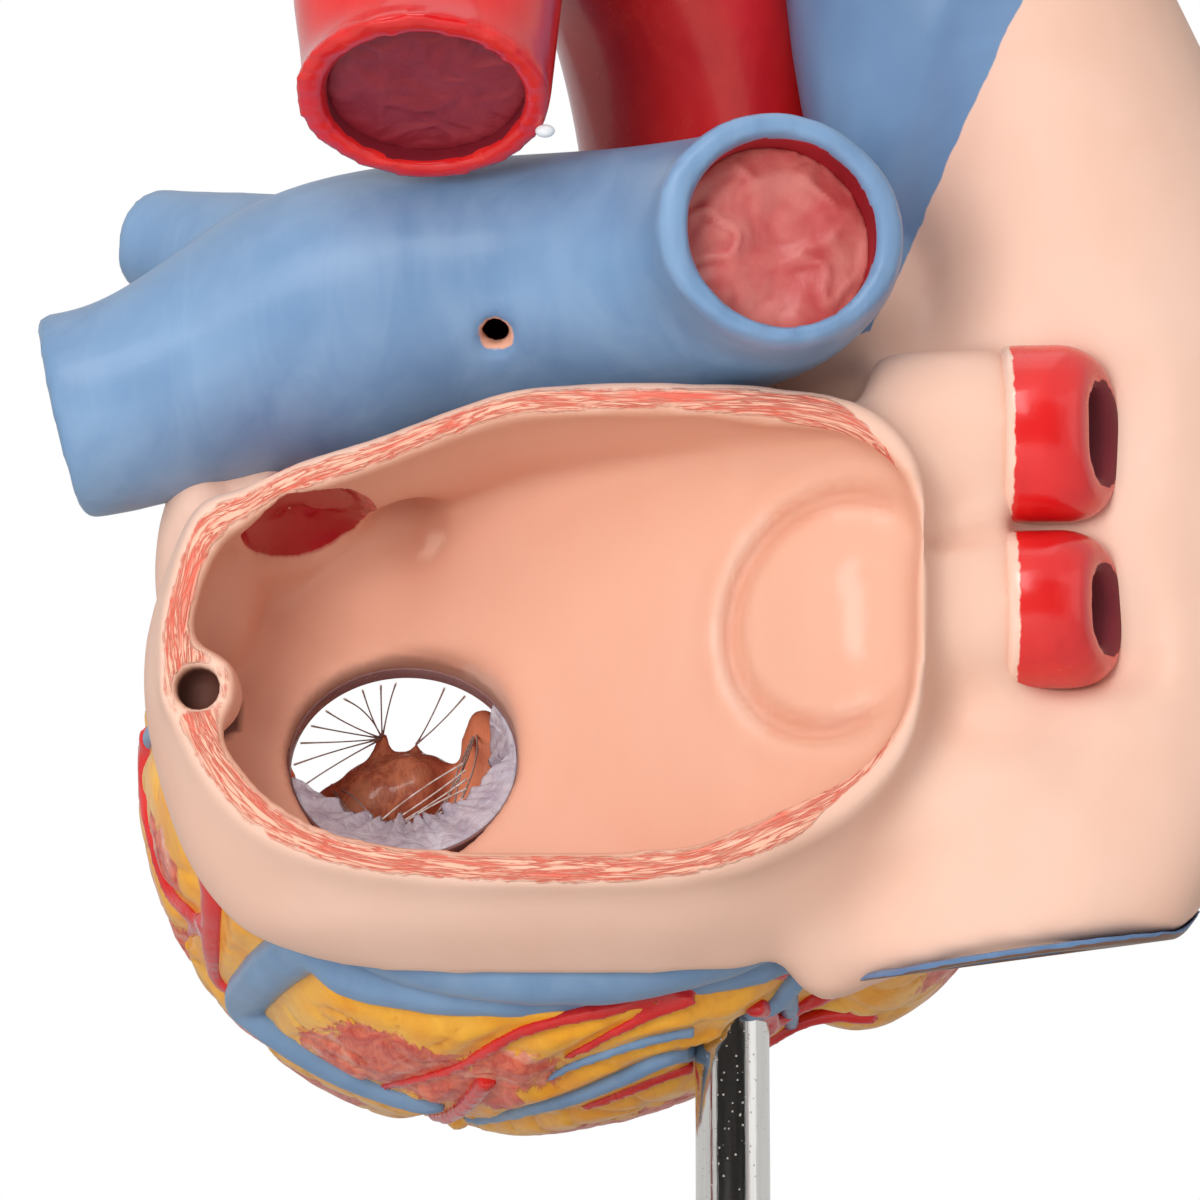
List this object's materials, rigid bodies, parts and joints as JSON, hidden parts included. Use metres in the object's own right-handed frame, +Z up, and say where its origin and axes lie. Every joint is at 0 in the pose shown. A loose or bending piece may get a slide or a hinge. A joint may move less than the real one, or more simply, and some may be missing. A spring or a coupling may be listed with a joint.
{
  "type": "human heart anatomy model",
  "caption": "Take-apart teaching heart, about twice life size, with the left atrium and ventricles laid open, a lift-off right atrium wall, and a turning mount on a chrome post with a round base.",
  "frame": {"origin": "middle of the flat rest plane under the base pad, on the post's axis", "axes": "+Z up along the post, -Y towards the front of the heart, +X towards the heart's own left side"},
  "size_m": [0.2092, 0.1549, 0.328],
  "materials": {
    "base_plastic": "fine satin",
    "base_rubber": "matt",
    "post_chrome": "polished",
    "plated_steel": "satin",
    "sleeve_aluminium": "satin",
    "heart_muscle": "painted, satin varnish",
    "papillary_muscle": "painted, gloss varnish",
    "atrium_flesh": "painted, satin varnish",
    "vessel_blue": "painted, satin varnish",
    "vessel_red": "painted, gloss varnish",
    "lumen_dark": "painted, satin varnish",
    "lumen_pink": "painted, satin varnish",
    "leaflet_film": "translucent film",
    "chorda_thread": "varnished thread"
  },
  "bodies": {
    "stand": {"base_plate": "base_plastic", "base_pad": "base_rubber", "stand_post": "post_chrome", "base_washer": "plated_steel", "base_screw": "plated_steel"},
    "heart": {"post_sleeve": "sleeve_aluminium", "ventricles": "heart_muscle", "coronary_sinus": "vessel_blue", "coronary_arteries": "vessel_red", "cardiac_veins": "vessel_blue", "left_papillary_muscles": "papillary_muscle", "right_papillary_muscles": "papillary_muscle", "mitral_valve": "leaflet_film", "tricuspid_valve": "leaflet_film", "mitral_chordae": "chorda_thread", "tricuspid_chordae": "chorda_thread", "aortic_valve": "leaflet_film", "pulmonary_valve": "leaflet_film", "left_atrium": "atrium_flesh", "right_atrium": "atrium_flesh", "cover_pins": "plated_steel", "inferior_vena_cava": "vessel_blue", "superior_vena_cava": "vessel_blue", "right_superior_pulmonary_vein": "vessel_red", "right_inferior_pulmonary_vein": "vessel_red", "left_pulmonary_vein": "vessel_red", "aorta": "vessel_red", "pulmonary_artery": "vessel_blue", "brachiocephalic_trunk": "vessel_red", "left_common_carotid": "vessel_red", "left_subclavian": "vessel_red", "aorta_lumen_plug": "lumen_dark", "pulmonary_lumen_plug": "lumen_pink"},
    "right_atrium_cover": {"right_atrium_wall": "atrium_flesh"}
  },
  "joints": [
    {"name": "heart_turn", "type": "hinge", "parent": "stand", "child": "heart", "pos_m": [0, 0, 0.13], "axis": [0, 0, 1], "continuous": true},
    {"name": "right_atrium_wall_pull", "type": "slide", "parent": "heart", "child": "right_atrium_cover", "axis": [-0.3584, -0.9336, 0], "range_m": [0, 0.08]}
  ]
}
